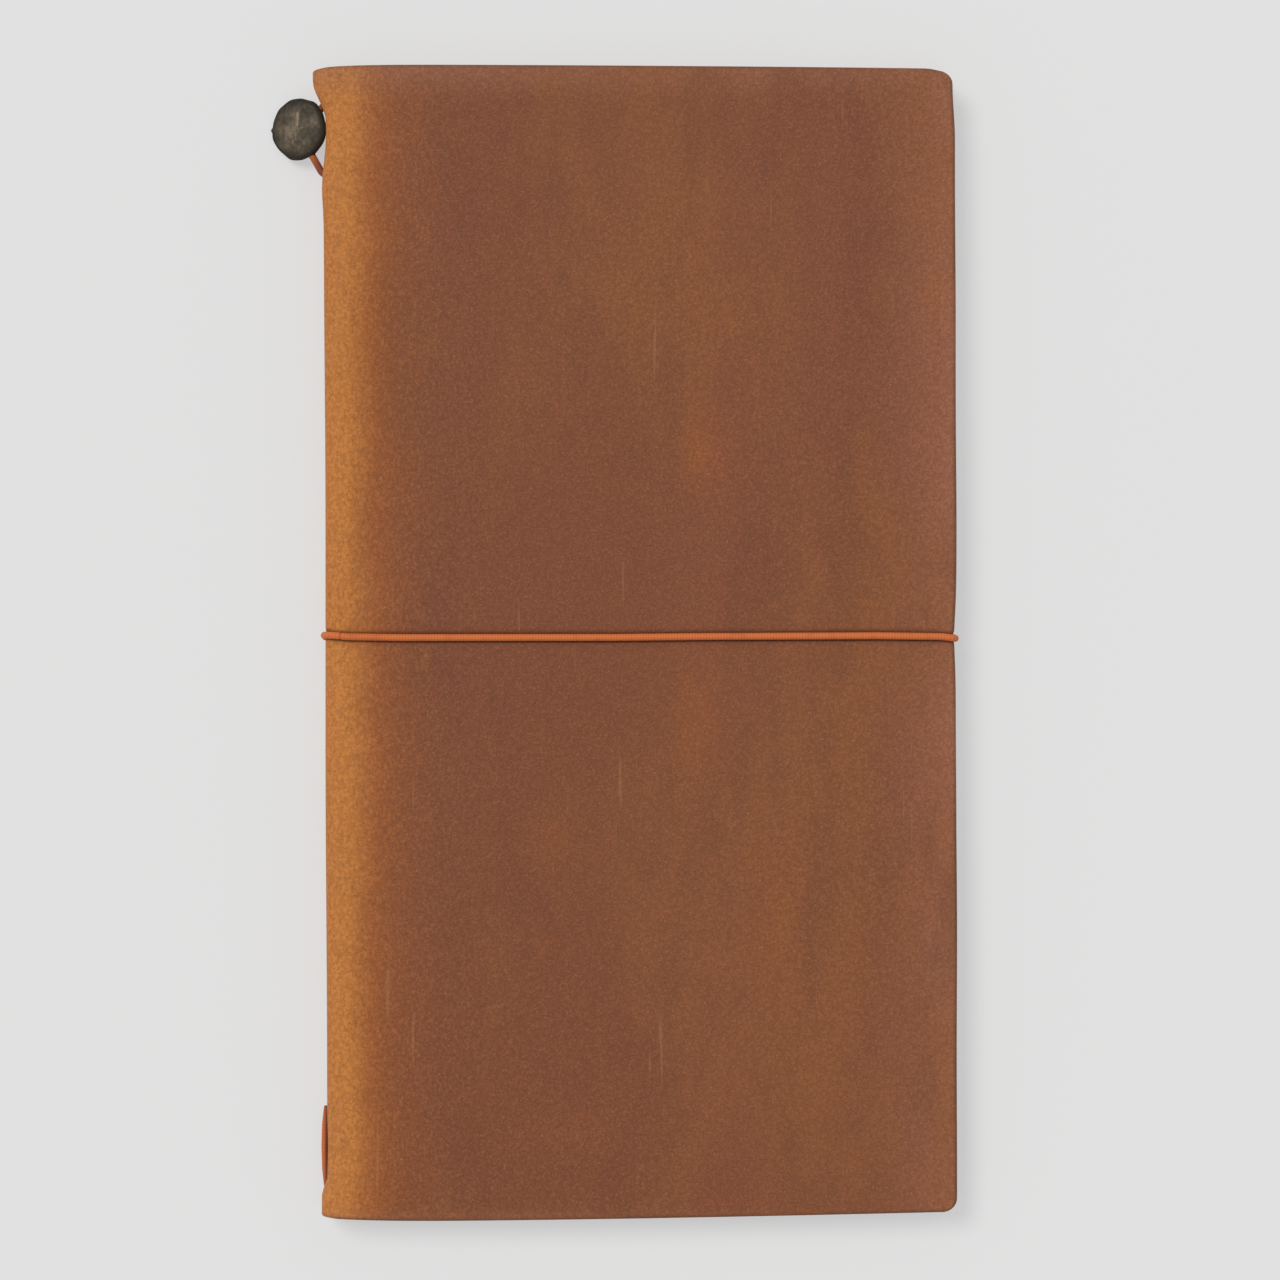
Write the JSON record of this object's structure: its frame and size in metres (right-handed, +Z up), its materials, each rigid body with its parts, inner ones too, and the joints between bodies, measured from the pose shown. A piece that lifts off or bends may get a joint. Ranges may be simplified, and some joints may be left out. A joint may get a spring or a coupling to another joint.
{
  "type": "leather notebook cover",
  "caption": "Narrow travel notebook cover folded from one hide, with a stapled refill on a spine elastic, a closure elastic round the fore-edge and a crimped tin clasp.",
  "frame": {"origin": "on the table, under the middle of the closed notebook's box", "axes": "+X from the spine to the fore-edge, +Y from tail to head, +Z up through the front cover"},
  "size_m": [0.1316, 0.22, 0.0111],
  "materials": {
    "leather": "waxed pull-up leather, satin",
    "kraft_card": "uncoated kraft",
    "paper": "uncoated cream paper",
    "steel_wire": "drawn wire",
    "elastic": "braided cover over rubber",
    "tin": "cast tin, darkened and rubbed"
  },
  "bodies": {
    "back": {"back_cover": "leather", "refill_cover_back": "kraft_card", "back_leaves_1": "paper", "back_leaves_2": "paper", "back_leaves_3": "paper", "gutter_elastic": "elastic", "closure_band_back": "elastic"},
    "stitching": {"staple_head": "steel_wire", "staple_tail": "steel_wire", "sheet_folds": "paper", "refill_cover_fold": "kraft_card"},
    "spine": {"spine": "leather", "spine_elastic": "elastic", "tail_elastic": "elastic", "closure_band_hook": "elastic", "closure_band_knot": "elastic"},
    "front": {"front_cover": "leather"},
    "leaves_1": {"front_leaves_1": "paper"},
    "leaves_2": {"front_leaves_2": "paper"},
    "leaves_3": {"front_leaves_3": "paper"},
    "refill_front": {"refill_cover_front": "kraft_card"},
    "band": {"closure_band_front": "elastic"},
    "clasp": {"clasp": "tin", "clasp_elastic": "elastic"}
  },
  "joints": [
    {"name": "spine_fold", "type": "hinge", "parent": "back", "child": "spine", "pos_m": [-0.05403, 0, 0.00208], "axis": [0, -1, 0], "range_deg": [0, 90], "deforming": ["gutter_elastic", "closure_band_hook"]},
    {"name": "cover_fold", "type": "hinge", "parent": "spine", "child": "front", "pos_m": [-0.05403, 0, 0.00892], "axis": [0, -1, 0], "range_deg": [0, 90]},
    {"name": "stitch_turn", "type": "hinge", "parent": "back", "child": "stitching", "pos_m": [-0.04721, 0, 0.0055], "axis": [0, -1, 0], "range_deg": [0, 60], "deforming": ["sheet_folds", "refill_cover_fold"]},
    {"name": "leaf_turn_1", "type": "hinge", "parent": "back", "child": "leaves_1", "pos_m": [-0.04721, 0, 0.0055], "axis": [0, -1, 0], "range_deg": [0, 151]},
    {"name": "leaf_turn_2", "type": "hinge", "parent": "back", "child": "leaves_2", "pos_m": [-0.04721, 0, 0.0055], "axis": [0, -1, 0], "range_deg": [0, 154]},
    {"name": "leaf_turn_3", "type": "hinge", "parent": "back", "child": "leaves_3", "pos_m": [-0.04721, 0, 0.0055], "axis": [0, -1, 0], "range_deg": [0, 157]},
    {"name": "refill_cover_turn", "type": "hinge", "parent": "back", "child": "refill_front", "pos_m": [-0.04721, 0, 0.0055], "axis": [0, -1, 0], "range_deg": [0, 160]},
    {"name": "closure_band_release", "type": "hinge", "parent": "back", "child": "band", "pos_m": [0, 0.0015, 0.0003], "axis": [1, 0, 0], "range_deg": [0, 90], "deforming": ["closure_band_front"]},
    {"name": "clasp_swing", "type": "hinge", "parent": "spine", "child": "clasp", "pos_m": [-0.05491, 0, 0.0055], "axis": [0, 1, 0], "range_deg": [-14, 65], "deforming": ["clasp_elastic"]}
  ],
  "couplings": [
    {"joint": "cover_fold", "follows": "spine_fold", "ratio": 1},
    {"joint": "stitch_turn", "follows": "spine_fold", "ratio": 0.66667},
    {"joint": "leaf_turn_1", "follows": "spine_fold", "ratio": 1.6778},
    {"joint": "leaf_turn_2", "follows": "spine_fold", "ratio": 1.7111},
    {"joint": "leaf_turn_3", "follows": "spine_fold", "ratio": 1.7444},
    {"joint": "refill_cover_turn", "follows": "spine_fold", "ratio": 1.7778},
    {"joint": "closure_band_release", "follows": "spine_fold", "ratio": 1}
  ]
}
